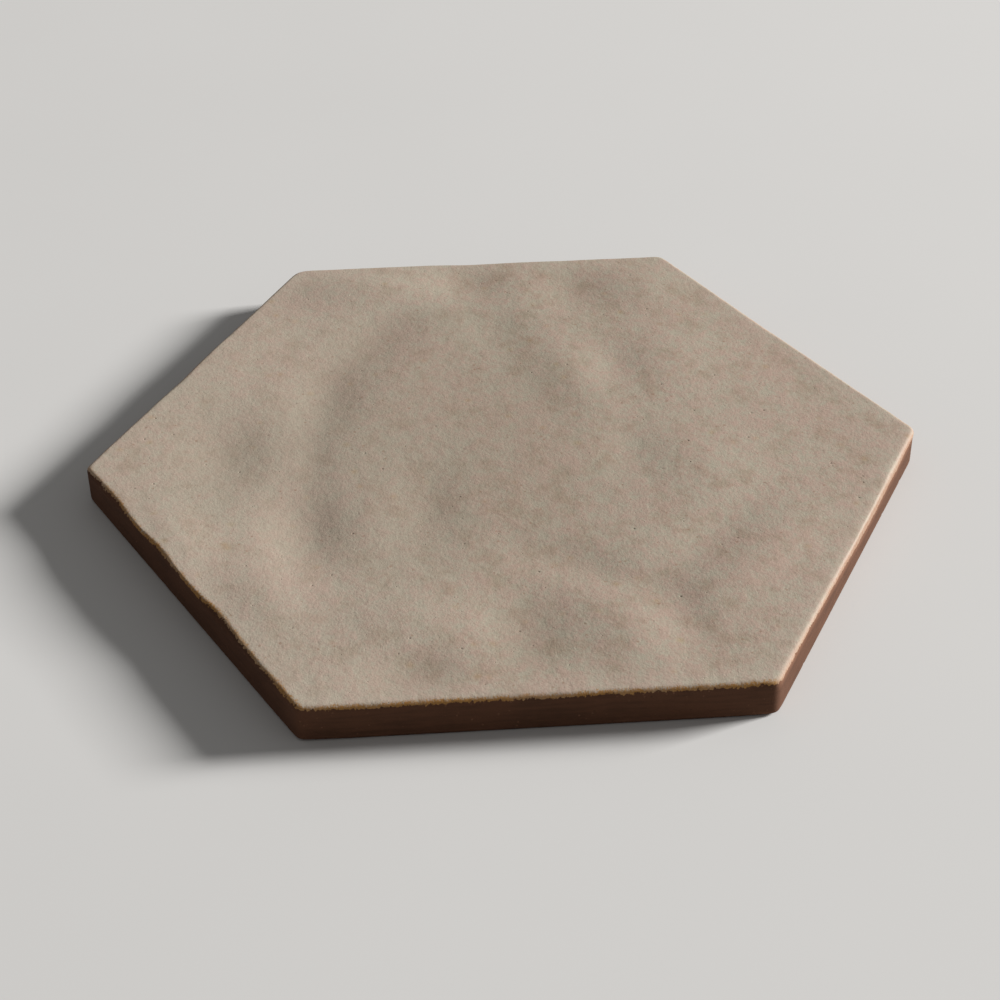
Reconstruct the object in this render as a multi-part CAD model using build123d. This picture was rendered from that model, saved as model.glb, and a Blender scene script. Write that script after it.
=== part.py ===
from build123d import *

import os
from math import cos, exp, radians, sin, sqrt

# Hexagonal ceramic floor tile with a hand-pressed face: one fired piece, lying on its back.
# The back lies on Z = 0, centred on the origin. +Z points out of the glazed face, two corners lie on
# the X axis, and two straight edges face +Y and -Y. All lengths are in millimetres.

# Outline and section
side = 100.0
thickness = 9.5
rim_radius = 1.2
foot_chamfer = 0.5

# Radii of the upright corners, as the tile is seen with -Y in front
right_corner_radius = 2.5
back_right_corner_radius = 2.8
back_left_corner_radius = 4.8
left_corner_radius = 1.5
front_left_corner_radius = 2.2
front_right_corner_radius = 2.7

# Height of the face's waves: a swell with a share of 1 rises this far above the mean face
wave_height = 1.45

# The waves die down over this distance from the straight edges, to this share of their height at the rim
calm_width = 12.0
rim_share = 0.35

# Swells and hollows pressed into the face by hand. Places and spreads are shares of the side: the
# centre along X and Y, the half length and the half width. Then come the turn of the length from +X,
# in degrees, and the rise as a share of the wave height, below zero for a hollow.
waves = (
    (0.36, 0.04, 0.60, 0.32, 90, 0.25),
    (-0.52, 0.04, 0.60, 0.30, 90, -0.20),
    (-0.31, 0.76, 0.18, 0.11, 0, 0.75),
    (-0.70, 0.48, 0.24, 0.09, 60, 0.35),
    (-0.43, 0.25, 0.16, 0.08, 80, -0.60),
    (-0.30, 0.50, 0.17, 0.09, 62, -0.50),
    (-0.48, -0.27, 0.15, 0.08, 95, -0.75),
    (-0.47, 0.00, 0.12, 0.06, 90, -0.30),
    (-0.67, 0.03, 0.14, 0.10, 90, -0.60),
    (-0.80, -0.34, 0.14, 0.08, 110, 1.20),
    (-0.67, -0.42, 0.13, 0.06, 105, -0.15),
    (-0.59, -0.48, 0.18, 0.10, 115, 0.45),
    (-0.26, -0.60, 0.13, 0.09, 0, 0.35),
    (-0.27, -0.78, 0.10, 0.07, 20, -0.60),
    (-0.01, -0.66, 0.14, 0.09, 85, -0.55),
    (0.21, -0.70, 0.13, 0.07, 110, 0.30),
    (-0.20, -0.22, 0.16, 0.07, 85, -0.35),
    (0.14, -0.46, 0.17, 0.06, 150, -0.45),
    (0.44, -0.37, 0.20, 0.05, 47, -0.30),
    (0.33, -0.63, 0.13, 0.05, 100, -0.30),
    (0.53, -0.46, 0.22, 0.06, 47, 0.30),
    (0.84, -0.36, 0.20, 0.09, 60, -0.40),
    (0.47, -0.12, 0.15, 0.12, 90, 0.30),
    (0.44, 0.33, 0.15, 0.10, 90, 0.30),
    (0.19, 0.30, 0.20, 0.08, 105, 0.40),
    (0.08, 0.02, 0.24, 0.11, 10, 0.20),
    (0.30, -0.03, 0.10, 0.06, 90, -0.30),
    (0.30, 0.35, 0.09, 0.06, 90, -0.25),
    (0.24, 0.71, 0.11, 0.09, 90, -0.50),
    (-0.04, 0.78, 0.11, 0.09, 90, -0.55),
    (0.01, 0.54, 0.10, 0.07, 95, -0.25),
    (0.43, 0.68, 0.12, 0.09, 90, 0.20),
    (0.76, 0.37, 0.30, 0.10, 120, -0.20),
)

# The spline surface of the face: the points along each side of its grid, how closely it passes them,
# and how far it reaches past the outline, as a share of the side
face_points = 50
face_tolerance = 0.02
face_overlap = 0.1


def wave_share(x, y):
    """Share of the waves' height at a place: all of it well inside the face, and the rim's share outside."""
    calm = 1.0
    for turn in range(30, 390, 60):
        inside = side * sqrt(3) / 2 - x * cos(radians(turn)) - y * sin(radians(turn))
        step = min(max(inside / calm_width, 0.0), 1.0)
        calm *= step**2 * (3 - 2 * step)
    return rim_share + (1 - rim_share) * calm


def face_height(x, y):
    """Height of the pressed face above the back at a place on the tile."""
    rise = 0.0
    for centre_x, centre_y, half_length, half_width, turn, share in waves:
        away_x = x / side - centre_x
        away_y = y / side - centre_y
        along = (away_x * cos(radians(turn)) + away_y * sin(radians(turn))) / half_length
        across = (away_y * cos(radians(turn)) - away_x * sin(radians(turn))) / half_width
        rise += share * exp(-(along**2) - across**2)
    return thickness + wave_height * wave_share(x, y) * rise


def rounded_hexagon():
    """The tile's outline on Z = 0, with each upright corner rounded."""
    corners = [(side * cos(radians(60 * n)), side * sin(radians(60 * n))) for n in range(6)]
    radii = [
        right_corner_radius,
        back_right_corner_radius,
        back_left_corner_radius,
        left_corner_radius,
        front_left_corner_radius,
        front_right_corner_radius,
    ]
    return make_face(FilletPolyline(*corners, radius=radii, close=True))


def pressed_face():
    """The waved face as one spline surface, reaching past the outline all round."""
    reach_x = side * (1 + face_overlap)
    reach_y = side * (sqrt(3) / 2 + face_overlap)
    steps = [2 * n / (face_points - 1) - 1 for n in range(face_points)]
    grid = [[(reach_x * u, reach_y * v, face_height(reach_x * u, reach_y * v)) for u in steps] for v in steps]
    return Face.make_surface_from_array_of_points(grid, tol=face_tolerance, min_deg=3, max_deg=3)


def hexagon_tile():
    """The whole tile: the outline raised to the pressed face, with a rounded rim and a bevelled foot."""
    clear_of_face = 2 * thickness
    below_face = extrude(pressed_face(), amount=clear_of_face, dir=(0, 0, -1))
    blank = extrude(rounded_hexagon(), amount=clear_of_face)
    tile = blank & below_face
    foot = tile.faces().sort_by(Axis.Z)[0].edges()
    tile = chamfer(foot, foot_chamfer)
    rim = tile.faces().sort_by(Axis.Z)[-1].edges()
    return fillet(rim, rim_radius)


tile = hexagon_tile()
os.makedirs("parts", exist_ok=True)
export_step(tile, "parts/hexagon_tile.step")
print("volume", round(tile.volume), "box", tile.bounding_box())
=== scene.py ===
from math import cos, pi, radians, sin, sqrt

import bmesh
import bpy
import numpy as np
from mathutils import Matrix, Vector
from mathutils.kdtree import KDTree


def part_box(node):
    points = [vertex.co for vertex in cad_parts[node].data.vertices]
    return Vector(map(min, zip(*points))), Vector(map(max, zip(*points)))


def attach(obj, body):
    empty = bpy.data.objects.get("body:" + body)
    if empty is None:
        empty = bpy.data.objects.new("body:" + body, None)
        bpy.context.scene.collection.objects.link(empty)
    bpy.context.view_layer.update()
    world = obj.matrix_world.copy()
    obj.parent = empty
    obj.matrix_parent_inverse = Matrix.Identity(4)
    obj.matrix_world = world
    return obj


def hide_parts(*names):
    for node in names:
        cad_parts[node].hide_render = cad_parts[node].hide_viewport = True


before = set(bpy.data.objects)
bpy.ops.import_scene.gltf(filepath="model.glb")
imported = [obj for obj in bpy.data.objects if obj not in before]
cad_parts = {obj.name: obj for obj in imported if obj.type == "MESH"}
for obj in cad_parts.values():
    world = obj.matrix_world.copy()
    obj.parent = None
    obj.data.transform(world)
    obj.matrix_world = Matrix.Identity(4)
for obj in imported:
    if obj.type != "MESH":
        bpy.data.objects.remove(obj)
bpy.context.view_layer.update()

bl_info = {
    "name": "Hexagonal floor tile",
    "version": (1, 0, 0),
    "blender": (4, 5, 0),
    "location": "3D View > Sidebar > Tile",
    "description": "Presses, glazes and lights a hexagonal clay floor tile",
    "category": "Object",
}

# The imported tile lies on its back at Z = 0, with two corners on the X axis and edges facing +Y and -Y.
NODE = "hexagon_tile"
BODY = "root"

tile_low, tile_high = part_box(NODE)
APOTHEM = (tile_high.y - tile_low.y) / 2
SIDE = APOTHEM * 2 / sqrt(3)
TILE_HEIGHT = tile_high.z - tile_low.z

MM = 0.001
PER_MM = 1000.0

# Fineness of the mesh: triangles along a side of the face, points along a side of the edges for each of
# those, rows round the rim, down the side and across the foot's bevel, triangles along a side of the back,
# and the back's reach as a share of the sharp hexagon's
FACE_STEPS = 120
EDGE_STEPS_PER_FACE_STEP = 2
RIM_ROWS = 7
SIDE_ROWS = 15
BEVEL_ROWS = 2
BACK_STEPS = 24
BACK_REACH = 0.97

# How sharply the rounding of the upright corners dies out towards the middle of the face
CORNER_FADE = 12.0

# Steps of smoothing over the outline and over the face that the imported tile's facets are evened out with
OUTLINE_BLUR = 8
FACE_BLUR = 6

# The side that the glaze has run furthest down: the way it faces, and the middle of the run, from the
# tile's centre in shares of its side, with the run's reach along the side
RUN_FACING = (0.866, -0.5, 0.0)
RUN_CENTRE = (0.84, -0.28, 0.0)
RUN_REACH = 0.55

# The glaze that ran over the rim of that side thins between these distances past the face
THINNING = (0.0, 1.7 * MM)

# The side that the glaze stops short on, by the way it faces
SHORT_FACING = (-0.866, -0.5, 0.0)

# A point begins to count as on such a side, and counts wholly, at these cosines of the angle between them
FACING = (0.6, 0.95)

# Spacings of the wide and the narrow waves in the lower edge of the glaze
WIDE_STRAY = 6 * MM
NARROW_STRAY = 1.8 * MM

# The glaze steps down to the bare clay between these distances inside its edge, in millimetres
GLAZE_STEP = (0.15, -0.15)

# Nicks are worn where their noise passes from the first of these values to the second
WORN = (0.58, 0.7)

# Nicks begin below the first of these heights, and are full below the second
WORN_FOOT = (1.4 * MM, 0.2 * MM)

# The fine relief fades out between these heights, so that the back stays flat
SMOOTH_BACK = (0.0, 0.05 * MM)

# Stretches of the rim that came out of the press tighter or softer: the middle along X and Y and the
# reach, in shares of the tile's side, and the change of the rim's radius there, as a share of it
RIM_STRETCHES = (
    (0.79, -0.37, 0.28, -0.45),
    (0.54, -0.80, 0.18, 0.35),
    (-0.75, -0.43, 0.13, -0.40),
    (-0.67, -0.57, 0.11, 0.50),
    (-0.93, -0.12, 0.14, 0.30),
    (-0.86, -0.24, 0.13, -0.40),
    (-0.80, 0.35, 0.12, 0.35),
    (-0.15, 0.87, 0.15, -0.25),
    (0.70, 0.52, 0.20, 0.25),
)

# The rim's other unevenness: its share of the radius, and its spacing along the outline
RIM_UNEVENNESS = 0.5
RIM_WANDER = 14 * MM

# The smallest and the largest pinhole, as shares of the largest one's size
PINHOLE_GRADES = (0.45, 1.0)

# Rounds of dividing the mesh about a pinhole, each as a reach in pinhole radii
PINHOLE_ROUNDS = (3.2, 2.2, 1.5)


def srgb(red, green, blue):
    """The linear colour of an sRGB colour from 0 to 255."""
    shares = (red / 255, green / 255, blue / 255)
    return tuple(s / 12.92 if s <= 0.04045 else ((s + 0.055) / 1.055) ** 2.4 for s in shares)


def length(name, description, default):
    """A length in metres that a user may change."""
    return bpy.props.FloatProperty(
        name=name, description=description, default=default, min=0.0, precision=5, unit="LENGTH"
    )


def shift(name, description, default):
    """A length in metres, to either side, that a user may change."""
    return bpy.props.FloatProperty(name=name, description=description, default=default, unit="LENGTH")


def angle(name, description, degrees):
    """An angle that a user may change, given here in degrees."""
    turn = radians(degrees)
    return bpy.props.FloatProperty(name=name, description=description, default=turn, unit="ROTATION")


def colour(name, description, default):
    """A linear colour that a user may change."""
    return bpy.props.FloatVectorProperty(
        name=name, description=description, default=default, size=3, min=0.0, max=1.0, subtype="COLOR"
    )


def share(name, description, default):
    """A share from 0 to 1 that a user may change."""
    return bpy.props.FloatProperty(
        name=name, description=description, default=default, min=0.0, max=1.0, subtype="FACTOR"
    )


class TileSizes(bpy.types.PropertyGroup):
    """Sizes of the tile's edges and of the fine relief of its glaze and clay."""

    rim_radius: length("Rim radius", "Radius of the roll from the face to the sides", 1.2 * MM)
    foot_bevel: length("Foot bevel", "Width and height of the bevel round the back", 0.5 * MM)
    glaze_reach: length("Glaze reach", "How far the glaze runs from the face down over the rim", 1.6 * MM)
    glaze_run: length("Glaze run", "How much further the glaze runs in the middle of one side", 1.9 * MM)
    glaze_shortfall: length("Glaze shortfall", "How much less far the glaze runs on one side", 0.55 * MM)
    glaze_raggedness: length("Glaze raggedness", "How far the glaze's lower edge strays", 0.5 * MM)
    glaze_thickness: length("Glaze thickness", "Step from the glaze down to the bare clay", 0.14 * MM)
    droop_width: length("Droop width", "Width of the soft droop of the face towards the run", 2.6 * MM)
    droop_depth: length("Droop depth", "Depth of the soft droop of the face towards the run", 0.2 * MM)
    peel_size: length("Peel size", "Spacing of the faint unevenness of the glaze", 3.5 * MM)
    peel_depth: length("Peel depth", "Depth of the faint unevenness of the glaze", 0.1 * MM)
    grit_size: length("Grit size", "Spacing of the grit in the bare clay", 0.9 * MM)
    grit_depth: length("Grit depth", "Depth of the grit in the bare clay", 0.05 * MM)
    chip_size: length("Chip size", "Spacing of the worn nicks along the foot", 4.0 * MM)
    chip_depth: length("Chip depth", "Depth of the worn nicks along the foot", 0.14 * MM)
    pinhole_radius: length("Pinhole radius", "Radius of the largest pinholes in the glaze", 0.34 * MM)
    pinhole_depth: length("Pinhole depth", "Depth of the largest pinholes in the glaze", 0.16 * MM)
    pinholes: bpy.props.IntProperty(
        name="Pinholes", description="Number of pinholes in the face", default=130, min=0
    )
    seed: bpy.props.IntProperty(name="Seed", description="Seed of all that is random", default=11)


class TileColours(bpy.types.PropertyGroup):
    """Colours of the matte glaze and of the red clay under it."""

    glaze_warm: colour("Warm glaze", "Pinkish beige of the thinner glaze", srgb(172, 149, 134))
    glaze_cool: colour("Cool glaze", "Greenish grey of the thicker glaze", srgb(167, 158, 140))
    glaze_brown: colour("Brown glaze", "Brownish clouds in the glaze", srgb(148, 128, 108))
    # Darker olive grey, laid in the hollows as pooled glaze and painted shade, and about the middle of the
    # face
    glaze_olive_dark: colour("Pooled glaze", "Olive grey where glaze pools in hollows", srgb(140, 128, 110))
    glaze_pale: colour("Pale glaze", "Cream of the glaze beside the rim", srgb(186, 171, 155))
    glaze_thin: colour("Thin glaze", "Pinkish tan where glaze ran thin over the rim", srgb(150, 116, 94))
    fringe: colour("Fringe", "Golden brown where glaze thins over the clay", srgb(160, 114, 55))
    ochre: colour("Ochre", "Rusty yellow of iron smears in the glaze", srgb(164, 130, 90))
    rust: colour("Rust", "Reddish brown of iron specks in the glaze", srgb(132, 92, 68))
    fleck: colour("Fleck", "Dark brown of flecks and pinholes", srgb(78, 58, 42))
    clay: colour("Clay", "Terracotta of the bare sides", srgb(88, 58, 41))
    clay_dark: colour("Dark clay", "Browner clay in patches and dark grit", srgb(71, 47, 33))
    clay_pale: colour("Pale clay", "Dusty clay along the foot and pale grit", srgb(122, 85, 64))
    glaze_roughness: share("Glaze roughness", "Roughness of the matte glaze", 0.65)
    clay_roughness: share("Clay roughness", "Roughness of the bare clay", 0.9)


class TileStage(bpy.types.PropertyGroup):
    """The floor, the light and the camera."""

    floor: colour("Floor", "Colour of the floor", srgb(212, 210, 207))
    sky: bpy.props.FloatProperty(
        name="Sky", description="Strength of the even light", default=0.2, min=0.0
    )
    key: bpy.props.FloatProperty(
        name="Key", description="Power of the main lamp", default=1440.0, min=0.0, unit="POWER"
    )
    key_side: angle("Key side", "Turn of the main lamp from +X towards +Y", 12)
    key_rise: angle("Key rise", "Rise of the main lamp above the floor", 20)
    key_distance: length("Key distance", "Distance of the main lamp from the tile", 8.0)
    key_width: length("Key width", "Width of the main lamp", 1.9)
    view_side: angle("View side", "Turn of the camera from -Y towards +X", -4.533)
    view_rise: angle("View rise", "Rise of the camera above the floor", 37.557)
    view_distance: length("View distance", "Distance of the camera from the tile's back", 0.4765)
    aim_right: shift("Aim right", "Shift of the camera to its right", -1.457 * MM)
    aim_up: shift("Aim up", "Shift of the camera upwards", -5.052 * MM)
    lens: bpy.props.FloatProperty(
        name="Lens", description="Focal length", default=70.76, subtype="DISTANCE_CAMERA"
    )


class Wire:
    """An output of a node, which plain arithmetic carries on into math nodes of the same tree."""

    def __init__(self, socket):
        self.socket = socket
        self.tree = socket.id_data

    def __add__(self, other):
        return combine("ADD", self, other)

    def __radd__(self, other):
        return combine("ADD", other, self)

    def __sub__(self, other):
        return combine("SUBTRACT", self, other)

    def __rsub__(self, other):
        return combine("SUBTRACT", other, self)

    def __mul__(self, other):
        return combine("MULTIPLY", self, other)

    def __rmul__(self, other):
        return combine("MULTIPLY", other, self)

    def __truediv__(self, other):
        return combine("DIVIDE", self, other)

    def __rtruediv__(self, other):
        return combine("DIVIDE", other, self)

    def part(self, letter):
        """One of the coordinates X, Y and Z of a vector."""
        return Wire(add(self.tree, "ShaderNodeSeparateXYZ", {"Vector": self}).outputs[letter])


def join(socket, value):
    """Links a wire into a socket, or sets the socket to a plain value."""
    if isinstance(value, Wire):
        socket.id_data.links.new(value.socket, socket)
    elif socket.type == "VECTOR" and isinstance(value, (int, float)):
        socket.default_value = (value, value, value)
    elif socket.type == "RGBA":
        socket.default_value = (*value, 1.0)
    else:
        socket.default_value = value


def add(tree, kind, inputs=None, **settings):
    """Adds a node with its settings, then joins its inputs, which are given by name or number."""
    made = tree.nodes.new(kind)
    for name, value in settings.items():
        setattr(made, name, value)
    for key, value in (inputs or {}).items():
        join(made.inputs[key], value)
    return made


def combine(operation, *terms):
    """A math node over wires and plain numbers, on vectors where any term is a vector."""
    tree = next(term.tree for term in terms if isinstance(term, Wire))
    vector = any(isinstance(t, tuple) or isinstance(t, Wire) and t.socket.type == "VECTOR" for t in terms)
    kind = "ShaderNodeVectorMath" if vector else "ShaderNodeMath"
    made = add(tree, kind, dict(enumerate(terms)), operation=operation)
    return Wire(next(socket for socket in made.outputs if socket.enabled))


def ease(value, start, end):
    """Rises smoothly from 0 where the value is at the start to 1 where it is at the end."""
    inputs = {"Value": value, "From Min": start, "From Max": end}
    return Wire(add(value.tree, "ShaderNodeMapRange", inputs, interpolation_type="SMOOTHSTEP").outputs[0])


def noise(place, size, detail=2.0, roughness=0.5, seed=0.0):
    """A cloudy value about 0.5, with clouds of a size in the units of the place."""
    inputs = {"Vector": place, "W": seed, "Scale": 1 / size, "Detail": detail, "Roughness": roughness}
    return Wire(add(place.tree, "ShaderNodeTexNoise", inputs, noise_dimensions="4D").outputs[0])


def cells(place, size, dimensions="3D"):
    """The distance to the nearest of many scattered points, and that point's own random shares."""
    inputs = {"Vector": place, "Scale": 1 / size}
    made = add(place.tree, "ShaderNodeTexVoronoi", inputs, voronoi_dimensions=dimensions)
    return Wire(made.outputs["Distance"]) * size, Wire(made.outputs["Position"])


def blend(below, above, amount):
    """One colour over another, by an amount from 0 to 1."""
    inputs = {0: amount, 6: below, 7: above}
    return Wire(add(amount.tree, "ShaderNodeMix", inputs, data_type="RGBA").outputs[2])


def blend_value(below, above, amount):
    """One number over another, by an amount from 0 to 1."""
    return Wire(add(amount.tree, "ShaderNodeMix", {0: amount, 2: below, 3: above}).outputs[0])


def hexagon_ring(steps):
    """Places round a hexagon with unit sides, from its corner on +X, with steps to a side."""
    corners = np.array([(cos(n * pi / 3), sin(n * pi / 3)) for n in range(7)])
    along = np.arange(steps)[:, None] / steps
    return np.concatenate([a + (b - a) * along for a, b in zip(corners, corners[1:])])


def lattice_triangles(steps):
    """Triangles of a hexagon that is divided ring by ring from its centre, as numbers of its points."""
    triangles = []
    for ring in range(1, steps + 1):
        inner_start = 1 + 3 * (ring - 1) * (ring - 2)
        outer_start = 1 + 3 * ring * (ring - 1)
        inner_count = max(6 * (ring - 1), 1)
        for sector in range(6):
            outer = [outer_start + (sector * ring + n) % (6 * ring) for n in range(ring + 1)]
            inner = [inner_start + (sector * (ring - 1) + n) % inner_count for n in range(ring)]
            if ring == 1:
                inner = [0]
            triangles += [(inner[n], outer[n], outer[n + 1]) for n in range(ring)]
            triangles += [(inner[n], outer[n + 1], inner[n + 1]) for n in range(ring - 1)]
    return triangles


class Blank:
    """The flat blank of the tile: its points lie on the sharp hexagon, and each says where it belongs.

    Reach is the share of the way out from the centre. Roll, fall and bevel are the shares of the way
    round the rim, down the side and across the foot's bevel. Back is 1 on the back.
    """

    FIELDS = ("reach", "roll", "fall", "bevel", "back")

    def __init__(self):
        self.places = []
        self.fields = []
        self.faces = []

    def points(self, places, **fields):
        """Adds points and returns their numbers."""
        start = len(self.places)
        values = {name: 0.0 for name in self.FIELDS} | {"reach": 1.0} | fields
        for n, place in enumerate(places):
            self.places.append((*place, 0.0))
            at = [value[n] if isinstance(value, np.ndarray) else value for value in values.values()]
            self.fields.append(at)
        return list(range(start, len(self.places)))

    def lattice(self, steps, scale, back):
        """Adds a hexagon of equal triangles, facing down where it is the back, and returns its edge."""
        rings = [np.zeros((1, 2))] + [hexagon_ring(n) * n / steps for n in range(1, steps + 1)]
        reach = np.concatenate([np.full(len(ring), n / steps) for n, ring in enumerate(rings)])
        made = self.points(np.concatenate(rings) * scale * SIDE, reach=reach * scale, back=back)
        for triangle in lattice_triangles(steps):
            numbers = [made[n] for n in triangle]
            self.faces.append(numbers[::-1] if back else numbers)
        return made[-6 * steps:]

    def fan(self, coarse, fine, back):
        """Joins a coarse ring to a finer one round it, with a fan of triangles on each coarse step."""
        ratio = len(fine) // len(coarse)
        half = (ratio + 1) // 2
        for n, first in enumerate(coarse):
            second = coarse[(n + 1) % len(coarse)]
            arc = [fine[(n * ratio + k) % len(fine)] for k in range(ratio + 1)]
            made = [(first, arc[k], arc[k + 1]) for k in range(half)]
            made.append((first, arc[half], second))
            made += [(second, arc[k], arc[k + 1]) for k in range(half, ratio)]
            self.faces += [triangle[::-1] if back else triangle for triangle in made]

    def band(self, upper, lower):
        """Joins two rings of as many points with a row of four-sided faces."""
        for n in range(len(upper)):
            after = (n + 1) % len(upper)
            self.faces.append((upper[n], lower[n], lower[after], upper[after]))

    def mesh(self, name):
        """The blank as a mesh, with what each point says as attributes."""
        made = bpy.data.meshes.new(name)
        made.from_pydata(self.places, [], self.faces)
        for name, values in zip(self.FIELDS, np.array(self.fields, np.float32).T):
            made.attributes.new(name, "FLOAT", "POINT").data.foreach_set("value", values.copy())
        return made


def tile_blank():
    """The flat blank of the whole tile: face, rim, sides, bevelled foot and back, as one closed mesh."""
    blank = Blank()
    face_edge = blank.lattice(FACE_STEPS, 1.0, back=0.0)
    ring = hexagon_ring(FACE_STEPS * EDGE_STEPS_PER_FACE_STEP) * SIDE
    rows = [{"roll": (n + 1) / RIM_ROWS} for n in range(RIM_ROWS)]
    rows += [{"roll": 1.0, "fall": (n + 1) / SIDE_ROWS} for n in range(SIDE_ROWS)]
    rows += [{"roll": 1.0, "fall": 1.0, "bevel": (n + 1) / BEVEL_ROWS} for n in range(BEVEL_ROWS)]
    rings = [blank.points(ring, **row) for row in rows]
    blank.fan(face_edge, rings[0], back=False)
    for upper, lower in zip(rings, rings[1:]):
        blank.band(upper, lower)
    back_edge = blank.lattice(BACK_STEPS, BACK_REACH, back=1.0)
    blank.fan(back_edge, rings[-1], back=True)
    return blank.mesh("tile_blank")


# Sizes that the pressing tree takes as its inputs
PRESSING_SIZES = (
    "rim_radius",
    "foot_bevel",
    "glaze_reach",
    "glaze_run",
    "glaze_shortfall",
    "glaze_raggedness",
    "glaze_thickness",
    "droop_width",
    "droop_depth",
    "peel_size",
    "peel_depth",
    "grit_size",
    "grit_depth",
    "chip_size",
    "chip_depth",
)


def size_name(size):
    """The name that a size has in the sidebar and on the pressing tree."""
    return TileSizes.bl_rna.properties[size].name


def attribute(tree, name, data_type="FLOAT"):
    """A value that the points carry."""
    made = add(tree, "GeometryNodeInputNamedAttribute", {"Name": name}, data_type=data_type)
    return Wire(made.outputs[0])


def keep(shape, name, value):
    """Writes a value onto the points of a shape, under a name."""
    data_type = "FLOAT_VECTOR" if value.socket.type == "VECTOR" else "FLOAT"
    inputs = {"Geometry": shape, "Name": name, "Value": value}
    made = add(shape.tree, "GeometryNodeStoreNamedAttribute", inputs, data_type=data_type)
    return Wire(made.outputs[0])


def even_out(value, steps):
    """Averages a value with its neighbours on the mesh, over and over."""
    data_type = "FLOAT_VECTOR" if value.socket.type == "VECTOR" else "FLOAT"
    inputs = {"Value": value, "Iterations": steps}
    return Wire(add(value.tree, "GeometryNodeBlurAttribute", inputs, data_type=data_type).outputs[0])


def ray(target, start, direction):
    """The place and the normal where a ray from each point first meets the target."""
    inputs = {"Target Geometry": target, "Source Position": start, "Ray Direction": direction}
    made = add(target.tree, "GeometryNodeRaycast", inputs)
    return Wire(made.outputs["Hit Position"]), Wire(made.outputs["Hit Normal"])


def pressing_inputs(tree):
    """Names the tree's inputs and its output, and returns the wires of the inputs by name."""
    kinds = {"Blank": "NodeSocketGeometry", "Packed tile": "NodeSocketObject"}
    kinds |= {"Ceramic": "NodeSocketMaterial", "Seed": "NodeSocketFloat"}
    for name, kind in kinds.items():
        tree.interface.new_socket(name, in_out="INPUT", socket_type=kind)
    for size in PRESSING_SIZES:
        socket = tree.interface.new_socket(size_name(size), in_out="INPUT", socket_type="NodeSocketFloat")
        socket.subtype = "DISTANCE"
    tree.interface.new_socket("Tile", in_out="OUTPUT", socket_type="NodeSocketGeometry")
    return {socket.name: Wire(socket) for socket in add(tree, "NodeGroupInput").outputs if socket.name}


def rim_radius(given, outline):
    """The radius of the rim at a place on the outline, which changes from stretch to stretch."""
    change = (noise(outline, RIM_WANDER, seed=given["Seed"] + 5.0) - 0.5) * RIM_UNEVENNESS
    for x, y, reach, amount in RIM_STRETCHES:
        away = combine("DISTANCE", outline, (x * SIDE, y * SIDE, 0.0))
        change = change + ease(away, reach * SIDE, 0.0) * amount
    return given["Rim radius"] * (1.0 + change)


def lay_out(given, shape, packed):
    """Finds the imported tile's outline, the place on the face and the height there for each point."""
    tree = shape.tree
    at = Wire(add(tree, "GeometryNodeInputPosition").outputs[0])
    reach = attribute(tree, "reach")
    outwards = combine("NORMALIZE", at)
    start = outwards * (2 * SIDE) + (0.0, 0.0, TILE_HEIGHT / 3)
    outline, square = ray(packed, start, outwards * -1.0)
    shape = keep(shape, "outline", even_out(outline * (1.0, 1.0, 0.0), OUTLINE_BLUR))
    shape = keep(shape, "square", combine("NORMALIZE", even_out(square * (1.0, 1.0, 0.0), OUTLINE_BLUR)))
    outline = attribute(tree, "outline", "FLOAT_VECTOR")
    square = attribute(tree, "square", "FLOAT_VECTOR")
    shape = keep(shape, "rim", rim_radius(given, outline))
    rim = attribute(tree, "rim")
    inset = blend_value(rim, given["Foot bevel"], attribute(tree, "back"))
    inner_share = 1.0 - inset / APOTHEM
    rounded_off = outline - square * inset - at / reach * inner_share
    near_edge = combine("POWER", reach, CORNER_FADE)
    shape = keep(shape, "place", at * inner_share + rounded_off * near_edge)
    clear_of_rim = square * (combine("MAXIMUM", given["Rim radius"] - rim, 0.0) * near_edge)
    over_face = attribute(tree, "place", "FLOAT_VECTOR") - clear_of_rim + (0.0, 0.0, 2 * TILE_HEIGHT)
    face, _ = ray(packed, over_face, (0.0, 0.0, -1.0))
    return keep(shape, "height", even_out(face.part("Z"), FACE_BLUR))


def roll_edges(given, shape):
    """Sets the face at its height, rolls the rim over it, drops the sides and bevels the foot."""
    tree = shape.tree
    height = attribute(tree, "height")
    above = 1.0 - attribute(tree, "back")
    turn = attribute(tree, "roll") * (pi / 2)
    fall = attribute(tree, "fall")
    bevel = attribute(tree, "bevel") * given["Foot bevel"]
    rim = attribute(tree, "rim")
    drop = rim * (1.0 - combine("COSINE", turn)) + (height - rim - given["Foot bevel"]) * fall + bevel
    out = rim * combine("SINE", turn) - bevel
    upright = add(tree, "ShaderNodeCombineXYZ", {"Z": (height - drop) * above})
    place = attribute(tree, "place", "FLOAT_VECTOR")
    square = attribute(tree, "square", "FLOAT_VECTOR")
    position = place + square * (out * above) + Wire(upright.outputs[0])
    run = rim * turn + (height - rim - given["Foot bevel"]) * fall + bevel
    shape = keep(shape, "run", run)
    shape = keep(shape, "unrolled", place + square * run)
    inputs = {"Geometry": shape, "Position": position}
    return Wire(add(tree, "GeometryNodeSetPosition", inputs).outputs[0])


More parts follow.
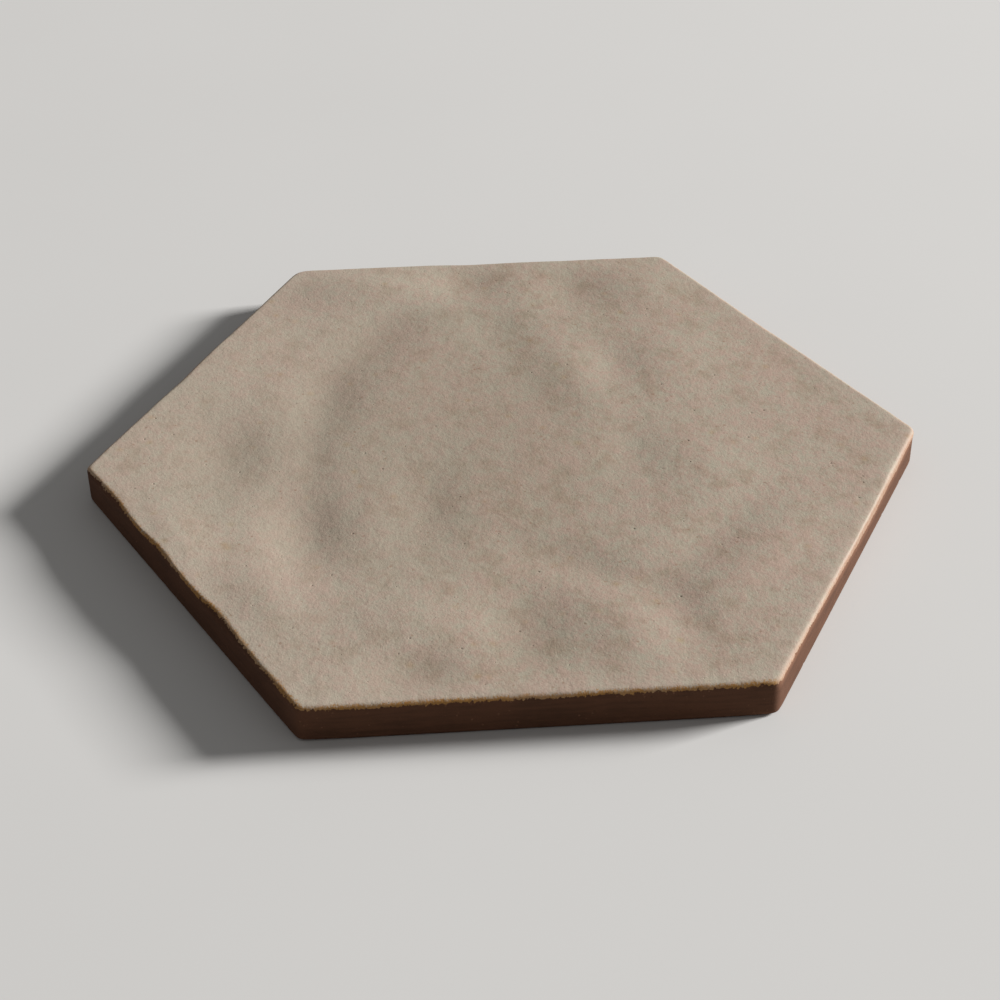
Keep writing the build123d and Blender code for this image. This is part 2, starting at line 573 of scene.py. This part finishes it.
def mark_glaze(given, shape):
    """Writes how far each point lies inside the glaze's edge, how thin its glaze is and its height."""
    tree = shape.tree
    at = Wire(add(tree, "GeometryNodeInputPosition").outputs[0])
    run = attribute(tree, "run")
    inside = (1.0 - attribute(tree, "reach")) * (1.0 - 2.0 * attribute(tree, "back")) * APOTHEM
    wide = noise(at, WIDE_STRAY, seed=given["Seed"])
    narrow = noise(at, NARROW_STRAY, seed=given["Seed"] + 1.0)
    stray = wide + narrow - 1.0
    square = attribute(tree, "square", "FLOAT_VECTOR")
    run_side = ease(combine("DOT_PRODUCT", square, RUN_FACING), *FACING)
    short_side = ease(combine("DOT_PRODUCT", square, SHORT_FACING), *FACING)
    from_run = combine("DISTANCE", at, tuple(part * SIDE for part in RUN_CENTRE))
    further = run_side * ease(from_run, RUN_REACH * SIDE, 0.0) * given["Glaze run"]
    reach = given["Glaze reach"] + further - short_side * given["Glaze shortfall"]
    cover = inside - run + reach + stray * 2.0 * given["Glaze raggedness"]
    shape = keep(shape, "cover", cover * PER_MM)
    shape = keep(shape, "run_side", run_side)
    shape = keep(shape, "thinned", run_side * ease(run, *THINNING))
    return keep(shape, "swell", attribute(tree, "height") * PER_MM)


def roughen(given, shape):
    """Sinks the bare clay below the glaze, and gives glaze, clay and foot their fine relief."""
    tree = shape.tree
    at = Wire(add(tree, "GeometryNodeInputPosition").outputs[0])
    bare = ease(attribute(tree, "cover"), *GLAZE_STEP)
    seed = given["Seed"]
    peel = noise(at, given["Peel size"], detail=3.0, seed=seed + 2.0) * given["Peel depth"]
    from_side = APOTHEM - combine("DOT_PRODUCT", at, RUN_FACING)
    near_side = combine("MINIMUM", combine("MAXIMUM", 1.0 - from_side / given["Droop width"], 0.0), 1.0)
    droop = near_side * near_side * (1.0 - attribute(tree, "fall")) * given["Droop depth"]
    grit = noise(at, given["Grit size"], detail=2.0, seed=seed + 3.0) * given["Grit depth"]
    worn = ease(noise(at, given["Chip size"], detail=3.0, seed=seed + 4.0), *WORN)
    foot = ease(at.part("Z"), *WORN_FOOT) * (1.0 - attribute(tree, "back"))
    sunk_clay = given["Glaze thickness"] + grit + worn * foot * given["Chip depth"]
    depth = blend_value(peel, sunk_clay, bare) + droop * (1.0 - attribute(tree, "back"))
    off_back = ease(at.part("Z"), *SMOOTH_BACK)
    normal = Wire(add(tree, "GeometryNodeInputNormal").outputs[0])
    offset = normal * (depth * off_back * -1.0)
    return Wire(add(tree, "GeometryNodeSetPosition", {"Geometry": shape, "Offset": offset}).outputs[0])


def pressing_tree():
    """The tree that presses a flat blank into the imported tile's shape and gives it its fine relief."""
    tree = bpy.data.node_groups.new("Press the tile", "GeometryNodeTree")
    given = pressing_inputs(tree)
    packed = add(tree, "GeometryNodeObjectInfo", {"Object": given["Packed tile"]})
    shape = lay_out(given, given["Blank"], Wire(packed.outputs["Geometry"]))
    shape = roll_edges(given, shape)
    shape = mark_glaze(given, shape)
    shape = roughen(given, shape)
    shape = Wire(add(tree, "GeometryNodeSetShadeSmooth", {"Geometry": shape}).outputs[0])
    shape = Wire(add(tree, "GeometryNodeRealizeInstances", {"Geometry": shape}).outputs[0])
    inputs = {"Geometry": shape, "Material": given["Ceramic"]}
    shape = Wire(add(tree, "GeometryNodeSetMaterial", inputs).outputs[0])
    add(tree, "NodeGroupOutput", {0: shape})
    return tree


def press(blank, sizes, ceramic):
    """Presses a blank with the tree, and returns the result as a plain mesh."""
    tile = bpy.data.objects.new("pressed_tile", blank)
    bpy.context.scene.collection.objects.link(tile)
    modifier = tile.modifiers.new("press", "NODES")
    modifier.node_group = pressing_tree()
    values = {"Packed tile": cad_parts[NODE], "Ceramic": ceramic, "Seed": float(sizes.seed)}
    values |= {size_name(size): getattr(sizes, size) for size in PRESSING_SIZES}
    for item in modifier.node_group.interface.items_tree:
        if item.in_out == "INPUT" and item.name in values:
            modifier[item.identifier] = values[item.name]
    graph = bpy.context.evaluated_depsgraph_get()
    pressed = bpy.data.meshes.new_from_object(tile.evaluated_get(graph))
    tile.modifiers.remove(modifier)
    tile.data = pressed
    bpy.data.meshes.remove(blank)
    return tile


def prick(mesh, sizes):
    """Pricks the pinholes into the face, on a mesh that is divided finely about each of them."""
    draw = np.random.default_rng(sizes.seed)
    reach = SIDE - 3 * sizes.rim_radius
    holes = []
    while len(holes) < sizes.pinholes:
        x, y = draw.uniform(-reach, reach, 2)
        grade = draw.uniform(*PINHOLE_GRADES)
        if max(abs(y), abs(x) * sqrt(3) / 2 + abs(y) / 2) < reach * sqrt(3) / 2:
            holes.append((x, y, grade))
    nearest = KDTree(len(holes))
    for n, (x, y, grade) in enumerate(holes):
        nearest.insert((x, y, 0.0), n)
    nearest.balance()
    shape = bmesh.new()
    shape.from_mesh(mesh)
    depth_of = shape.verts.layers.float.new("pinhole")

    def from_hole(place):
        """The distance from the nearest pinhole, in its radii, and its grade."""
        _, n, away = nearest.find((place.x, place.y, 0.0))
        return away / (sizes.pinhole_radius * holes[n][2]), holes[n][2]

    lowest_face = TILE_HEIGHT / 2
    for limit in PINHOLE_ROUNDS:
        edges = []
        for edge in shape.edges:
            middle = (edge.verts[0].co + edge.verts[1].co) / 2
            half_length = edge.calc_length() / sizes.pinhole_radius / 2
            if middle.z > lowest_face and from_hole(middle)[0] < limit + half_length:
                edges.append(edge)
        bmesh.ops.subdivide_edges(shape, edges=edges, cuts=1)
    for point in shape.verts:
        away, grade = from_hole(point.co)
        if away < 1.0 and point.co.z > lowest_face:
            point[depth_of] = grade * (1.0 - away**2) ** 2
            point.co.z -= point[depth_of] * sizes.pinhole_depth
    bmesh.ops.triangulate(shape, faces=[face for face in shape.faces if len(face.verts) > 4])
    shape.to_mesh(mesh)
    shape.free()


# Layout of the colour map: the face with the unrolled sides fills it, and the back sits small in a corner
MAP_MARGIN = 0.006
BACK_MAP_CENTRE = (0.125, 0.885)
BACK_MAP_WIDTH = 0.21

# Faces whose normal points further down than this belong to the back
FACING_DOWN = -0.95


def lay_out_map(mesh):
    """Gives the mesh a map of the face with its unrolled sides in one hexagon, and the back beside it."""
    points = len(mesh.vertices)
    places = np.empty(points * 3, np.float32)
    mesh.vertices.foreach_get("co", places)
    unrolled = np.empty(points * 3, np.float32)
    mesh.attributes["unrolled"].data.foreach_get("vector", unrolled)
    corners = np.empty(len(mesh.loops), np.int32)
    mesh.loops.foreach_get("vertex_index", corners)
    totals = np.empty(len(mesh.polygons), np.int32)
    mesh.polygons.foreach_get("loop_total", totals)
    normals = np.empty(len(mesh.polygons) * 3, np.float32)
    mesh.polygons.foreach_get("normal", normals)
    on_back = np.repeat(normals.reshape(-1, 3)[:, 2] < FACING_DOWN, totals)
    unrolled = unrolled.reshape(-1, 3)[:, :2]
    low = unrolled.min(0)
    scale = (1 - 2 * MAP_MARGIN) / (unrolled.max(0) - low)[0]
    front_map = (unrolled - low) * scale + MAP_MARGIN
    back_map = places.reshape(-1, 3)[:, :2] / (2 * SIDE) * BACK_MAP_WIDTH + BACK_MAP_CENTRE
    spots = np.where(on_back[:, None], back_map[corners], front_map[corners])
    layer = mesh.uv_layers.new(name="OFBake")
    layer.data.foreach_set("uv", spots.astype(np.float32).ravel())


# Spacings of the patterns in the glaze, in millimetres
CLOUDS = 24.0
BROWN_CLOUDS = 5.5
MOTTLE = 2.6
GLAZE_GRAIN = 0.75
DUST = 0.42
SMEARS = 11.0
SPECKS = 4.4
FLECKS = 3.1
TEETH = 0.34
GOLDEN_STRETCHES = 9.0

# Spacings of the patterns in the clay and of the fraying where the glaze ends, in millimetres
CLAY_PATCHES = 11.0
CLAY_DRAG = 0.8
CLAY_GRAIN = 0.35
CLAY_GRIT = 0.8
FRAYING = 0.6

# The mean height of the face, and how far below it a hollow gets its darkest tone, which is partly pooled
# glaze and partly painted shade, in millimetres
MEAN_FACE = TILE_HEIGHT * PER_MM - 0.9
SHADED_POOL_DEPTH = 1.1

# The darker patch about the middle of the face: its centre, how each axis counts, and its outer and inner
# reach
DARK_MIDDLE_CENTRE = (-8.0, 0.0, 0.0)
DARK_MIDDLE_SHAPE = (1.0, 0.75, 0.0)
DARK_MIDDLE_REACH = (52.0, 16.0)

# The glaze pales between these distances from its edge, and between these places along X
PALE_RIM = (9.0, 2.5)
PALE_END = (10.0, -60.0)

# The golden fringe gains strength between these places along Y, and shows between these distances
# inside the edge of the glaze
GOLDEN_FRONT = (25.0, -25.0)
FRINGE = (1.35, 0.45)

# The dust on the foot gathers between these heights, and the haze below the run of glaze between these
# distances from its edge
FOOT_DUST = (1.6, 0.3)
HAZE = (-2.6, 0.0)

BLACK = (0.0, 0.0, 0.0)


class GlazePatterns:
    """The cloudy values that the colour, the roughness and the relief of the glaze share."""

    def __init__(self, place):
        self.clouds = noise(place, CLOUDS, detail=3.0, roughness=0.55, seed=1.0)
        self.mottle = noise(place, MOTTLE, detail=3.0, roughness=0.7, seed=2.0)
        self.grain = noise(place, GLAZE_GRAIN, detail=2.0, roughness=0.75, seed=3.0)
        self.dust = noise(place, DUST, detail=1.0, seed=11.0)
        self.teeth = noise(place * (1.0, 1.0, 0.3), TEETH, detail=2.0, roughness=0.6, seed=13.0)


def mottled(colours, place, patterns):
    """The ground of the glaze: warm and cool grains under brownish clouds."""
    warm = ease(patterns.clouds * 0.2 + patterns.mottle * 0.5 + (1.0 - patterns.grain) * 0.3, 0.4, 0.6)
    tone = blend(colours.glaze_cool, colours.glaze_warm, warm)
    brown = ease(noise(place, BROWN_CLOUDS, detail=4.0, roughness=0.68, seed=14.0), 0.46, 0.7)
    return blend(tone, colours.glaze_brown, brown * 0.55)


def pooled_shade_and_dark_middle(colours, tone, place, swell, clouds):
    """Darkens the glaze in the hollows, as pooled glaze and painted shade, and about the middle of the
    face.
    """
    # Painted shade: the hollows are darkened as if shaded, and partly as pooled glaze
    pooled_and_shaded_hollows = ease(swell + (clouds - 0.5) * 0.8, MEAN_FACE, MEAN_FACE - SHADED_POOL_DEPTH)
    tone = blend(tone, colours.glaze_olive_dark, pooled_and_shaded_hollows * 0.35)
    from_middle = combine("LENGTH", (place - DARK_MIDDLE_CENTRE) * DARK_MIDDLE_SHAPE)
    in_middle = ease(from_middle + (clouds - 0.5) * 40.0, *DARK_MIDDLE_REACH)
    return blend(tone, colours.glaze_olive_dark, in_middle * 0.22)


def paled(colours, tone, place, cover, clouds):
    """Pales the glaze beside the rim and towards one end of the tile."""
    near_rim = ease(cover + (clouds - 0.5) * 6.0, *PALE_RIM)
    tone = blend(tone, colours.glaze_pale, near_rim * 0.2)
    near_end = ease(place.part("X") + (clouds - 0.5) * 30.0, *PALE_END)
    return blend(tone, colours.glaze_pale, near_end * 0.25)


def specked(colours, tone, place, pinhole, patterns):
    """Scatters smears, specks and flecks, darkens the pinholes, and returns the tone and the flecks."""
    away, where = cells(place, SMEARS, "2D")
    smear = ease(away + patterns.mottle * 3.0, 3.0, 1.0) * ease(noise(where, 23.0, seed=4.0), 0.45, 0.6)
    tone = blend(tone, colours.ochre, smear * 0.4)
    away, where = cells(place, SPECKS, "2D")
    speck_size = ease(noise(where, 7.0, seed=5.0), 0.48, 0.66) * 0.5
    ragged = away + (patterns.grain - 0.5) * 0.5
    speck = ease(ragged, speck_size, speck_size * 0.3) * ease(speck_size, 0.05, 0.2)
    tone = blend(tone, colours.rust, speck * 0.4)
    away, where = cells(place, FLECKS, "2D")
    fleck_size = ease(noise(where, 5.0, seed=12.0), 0.52, 0.72) * 0.24
    fleck = ease(away, fleck_size, fleck_size * 0.4) * ease(fleck_size, 0.02, 0.06)
    tone = blend(tone, colours.fleck, fleck * 0.3)
    return blend(tone, colours.fleck, ease(pinhole, 0.05, 0.6) * 0.45), fleck


def fringed(colours, tone, place, cover, run_side, patterns):
    """Turns the glaze golden where it thins over the clay at its ragged edge."""
    thin = ease(cover + (patterns.teeth - 0.5) * 2.8 + (patterns.grain - 0.5) * 0.6, *FRINGE)
    golden = 0.6 + ease(noise(place, GOLDEN_STRETCHES, seed=15.0), 0.35, 0.6) * 0.35
    towards_front = 0.4 + ease(place.part("Y"), *GOLDEN_FRONT) * 0.6
    return blend(tone, colours.fringe, thin * golden * towards_front * (1.0 - 0.9 * run_side))


def glaze(colours, place, cover, carried):
    """The matte glaze: its colour, roughness and fine height, in millimetres."""
    patterns = GlazePatterns(place)
    tone = mottled(colours, place, patterns)
    tone = pooled_shade_and_dark_middle(colours, tone, place, carried("swell"), patterns.clouds)
    tone = paled(colours, tone, place, cover, patterns.clouds)
    run_thin = carried("thinned") * (0.5 + ease(patterns.teeth, 0.38, 0.6) * 0.6)
    tone = blend(tone, colours.glaze_thin, run_thin)
    tone, fleck = specked(colours, tone, place, carried("pinhole"), patterns)
    tone = fringed(colours, tone, place, cover, carried("run_side"), patterns)
    tone = blend(BLACK, tone, 0.62 + patterns.grain * 0.4 + patterns.dust * 0.36)
    roughness = colours.glaze_roughness + (patterns.grain - 0.5) * 0.16 + (patterns.mottle - 0.5) * 0.1
    height = patterns.grain * 0.07 + patterns.dust * 0.01 + patterns.mottle * 0.14 - fleck * 0.05
    return tone, roughness, height


def bare_clay(colours, place, cover, run_side):
    """The fired red clay of the sides and back: its colour, roughness and fine height, in millimetres."""
    patches = noise(place, CLAY_PATCHES, detail=4.0, roughness=0.6, seed=6.0)
    drag = noise(place * (0.1, 0.1, 1.0), CLAY_DRAG, detail=2.0, seed=7.0)
    grain = noise(place, CLAY_GRAIN, detail=2.0, roughness=0.6, seed=8.0)
    tone = blend(colours.clay, colours.clay_dark, ease(patches * 0.5 + drag * 0.5, 0.42, 0.66) * 0.7)
    foot = ease(place.part("Z") + (patches - 0.5) * 1.5, *FOOT_DUST)
    tone = blend(tone, colours.clay_pale, foot * 0.3)
    haze = ease(cover + (patches - 0.5) * 2.0, *HAZE) * run_side
    tone = blend(tone, colours.clay_pale, haze * 0.7)
    away, where = cells(place, CLAY_GRIT)
    kind = noise(where, 1.1, seed=9.0)
    speck = ease(away, 0.3, 0.15)
    tone = blend(tone, colours.clay_pale, speck * ease(kind, 0.6, 0.68) * 0.6)
    tone = blend(tone, colours.clay_dark, speck * ease(kind, 0.4, 0.32) * 0.7)
    tone = blend(BLACK, tone, 0.85 + grain * 0.3)
    roughness = colours.clay_roughness + (grain - 0.5) * 0.1
    height = grain * 0.05 + drag * 0.04 + speck * ease(kind, 0.6, 0.68) * 0.05
    return tone, roughness, height


def ceramic_material(colours):
    """One fired surface: matte glaze over red clay, with a ragged edge between them."""
    material = bpy.data.materials.new("glazed_red_clay")
    material.use_nodes = True
    tree = material.node_tree
    tree.nodes.clear()
    place = Wire(add(tree, "ShaderNodeTexCoord").outputs["Object"]) * PER_MM

    def carried(name):
        """A value that the tile's points carry."""
        return Wire(add(tree, "ShaderNodeAttribute", attribute_name=name).outputs["Fac"])

    cover = carried("cover")
    glaze_tone, glaze_roughness, glaze_height = glaze(colours, place, cover, carried)
    clay_tone, clay_roughness, clay_height = bare_clay(colours, place, cover, carried("run_side"))
    frayed = noise(place * (1.0, 1.0, 0.7), FRAYING, detail=3.0, roughness=0.6, seed=10.0)
    glazed = ease(cover + (frayed - 0.5) * 2.6, -0.1, 0.15)
    height = blend_value(clay_height, glaze_height, glazed)
    bump = add(tree, "ShaderNodeBump", {"Height": height, "Distance": MM, "Strength": 1.0})
    inputs = {
        "Base Color": blend(clay_tone, glaze_tone, glazed),
        "Roughness": blend_value(clay_roughness, glaze_roughness, glazed),
        "Specular IOR Level": 0.2,
        "Normal": Wire(bump.outputs[0]),
    }
    shader = add(tree, "ShaderNodeBsdfPrincipled", inputs)
    add(tree, "ShaderNodeOutputMaterial", {"Surface": Wire(shader.outputs[0])})
    return material


class TILE_OT_press(bpy.types.Operator):
    """Press the tile from its blank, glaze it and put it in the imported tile's place"""

    bl_idname = "tile.press"
    bl_label = "Press the tile"

    def execute(self, context):
        sizes = context.scene.tile_sizes
        tile = press(tile_blank(), sizes, ceramic_material(context.scene.tile_colours))
        if not tile.data.polygons:
            raise RuntimeError("the pressing tree made no faces")
        prick(tile.data, sizes)
        lay_out_map(tile.data)
        for name in (*Blank.FIELDS, "outline", "square", "rim", "place", "height", "run", "unrolled"):
            tile.data.attributes.remove(tile.data.attributes[name])
        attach(tile, BODY)
        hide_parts(NODE)
        return {"FINISHED"}


def floor_material(tint):
    """The plain pale floor, with a faint unevenness in its tone."""
    material = bpy.data.materials.new("pale_floor")
    material.use_nodes = True
    tree = material.node_tree
    shader = tree.nodes["Principled BSDF"]
    place = Wire(add(tree, "ShaderNodeTexCoord").outputs["Object"])
    darker = tuple(0.97 * part for part in tint)
    join(shader.inputs["Base Color"], blend(darker, tint, noise(place, 0.08, detail=3.0)))
    join(shader.inputs["Roughness"], 0.9)
    join(shader.inputs["Specular IOR Level"], 0.2)
    return material


def add_floor(stage):
    """A wide pale floor just under the tile."""
    half = 3.0
    below = -0.1 * MM
    mesh = bpy.data.meshes.new("floor")
    corners = [(-half, -half, below), (half, -half, below), (half, half, below), (-half, half, below)]
    mesh.from_pydata(corners, [], [(0, 1, 2, 3)])
    mesh.materials.append(floor_material(tuple(stage.floor)))
    floor = bpy.data.objects.new("floor", mesh)
    bpy.context.scene.collection.objects.link(floor)


def direction(side, rise):
    """A direction by its turn from +X towards +Y and its rise above the floor."""
    return Vector((cos(side) * cos(rise), sin(side) * cos(rise), sin(rise)))


def add_lamp(name, towards, distance, width, power):
    """A soft square lamp that faces the tile."""
    lamp = bpy.data.lights.new(name, "AREA")
    lamp.size = width
    lamp.energy = power
    made = bpy.data.objects.new(name, lamp)
    made.location = towards * distance
    made.rotation_euler = (-towards).to_track_quat("-Z", "Y").to_euler()
    bpy.context.scene.collection.objects.link(made)


def add_sky(strength):
    """An even white light from all round."""
    sky = bpy.data.worlds.new("studio")
    sky.use_nodes = True
    background = sky.node_tree.nodes["Background"]
    background.inputs["Color"].default_value = (1.0, 1.0, 1.0, 1.0)
    background.inputs["Strength"].default_value = strength
    bpy.context.scene.world = sky


def add_camera(stage):
    """The camera, looking down at the tile from in front."""
    back = direction(stage.view_side - pi / 2, stage.view_rise)
    right = Vector((cos(stage.view_side), sin(stage.view_side), 0.0))
    up = back.cross(right)
    camera = bpy.data.cameras.new("camera")
    camera.lens = stage.lens
    made = bpy.data.objects.new("camera", camera)
    made.location = back * stage.view_distance + right * stage.aim_right + up * stage.aim_up
    made.rotation_euler = (-back).to_track_quat("-Z", "Y").to_euler()
    bpy.context.scene.collection.objects.link(made)
    bpy.context.scene.camera = made


class TILE_OT_stage(bpy.types.Operator):
    """Lay the floor, and set up the lamp, the even light and the camera"""

    bl_idname = "tile.stage"
    bl_label = "Set the stage"

    def execute(self, context):
        stage = context.scene.tile_stage
        context.scene.view_settings.view_transform = "Standard"
        add_floor(stage)
        add_sky(stage.sky)
        towards_key = direction(stage.key_side, stage.key_rise)
        add_lamp("key", towards_key, stage.key_distance, stage.key_width, stage.key)
        add_camera(stage)
        return {"FINISHED"}


class TILE_PT_sidebar(bpy.types.Panel):
    """The tile's steps and values in the sidebar"""

    bl_idname = "TILE_PT_sidebar"
    bl_label = "Hexagonal floor tile"
    bl_space_type = "VIEW_3D"
    bl_region_type = "UI"
    bl_category = "Tile"

    def draw(self, context):
        for operator, groups in STEPS.items():
            self.layout.operator(operator)
            for group in groups:
                for name in GROUPS[group].__annotations__:
                    self.layout.prop(getattr(context.scene, group), name)


GROUPS = {"tile_sizes": TileSizes, "tile_colours": TileColours, "tile_stage": TileStage}
STEPS = {"tile.press": ("tile_sizes", "tile_colours"), "tile.stage": ("tile_stage",)}
CLASSES = (TileSizes, TileColours, TileStage, TILE_OT_press, TILE_OT_stage, TILE_PT_sidebar)


def register():
    """Adds the tile's steps and values to Blender."""
    for kind in CLASSES:
        bpy.utils.register_class(kind)
    for name, group in GROUPS.items():
        setattr(bpy.types.Scene, name, bpy.props.PointerProperty(type=group))


def unregister():
    """Takes the tile's steps and values out of Blender again."""
    for name in GROUPS:
        delattr(bpy.types.Scene, name)
    for kind in reversed(CLASSES):
        bpy.utils.unregister_class(kind)


def main():
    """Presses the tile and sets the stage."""
    register()
    bpy.ops.tile.press()
    bpy.ops.tile.stage()


if __name__ == "__main__":
    main()
